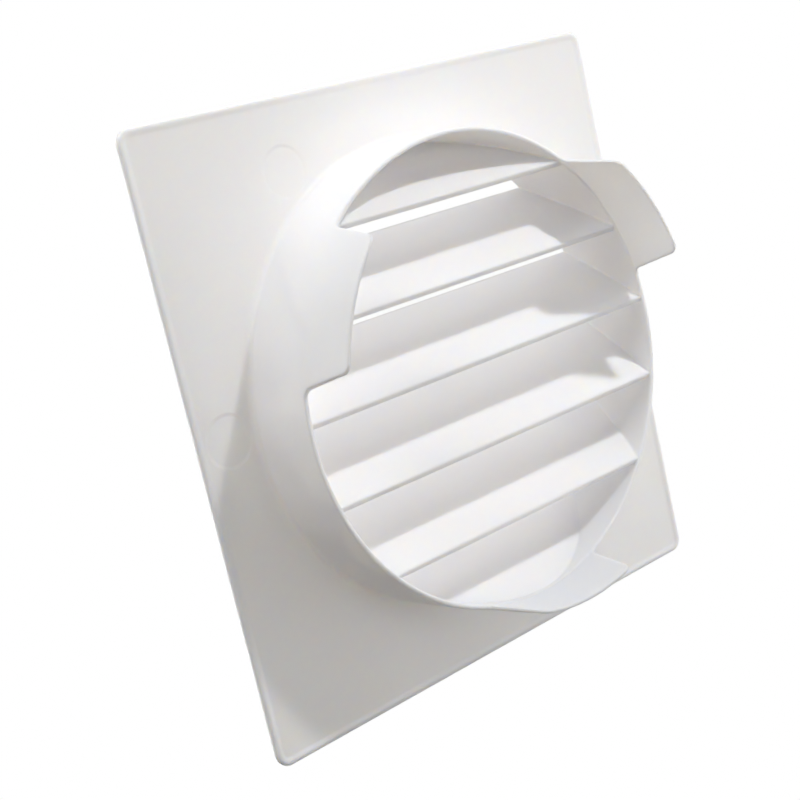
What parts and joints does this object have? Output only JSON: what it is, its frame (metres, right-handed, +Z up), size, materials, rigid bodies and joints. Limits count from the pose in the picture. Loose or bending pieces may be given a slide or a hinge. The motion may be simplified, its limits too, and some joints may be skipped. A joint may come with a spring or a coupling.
{
  "type": "square vent grille",
  "caption": "Square face plate with a round duct spigot, grip tabs and fixed louvre blades, moulded in one piece of white plastic.",
  "frame": {"origin": "on the spigot's axis, in the plane of the lip that touches the wall", "axes": "-Y along the spigot's axis towards its rim and into the wall, +Y out of the plate's visible front, +Z up the plate, +X along the louvre blades"},
  "size_m": [0.19, 0.0483, 0.19],
  "materials": {
    "white_abs": "satin moulded"
  },
  "bodies": {
    "root": {"grille": "white_abs"}
  },
  "joints": []
}
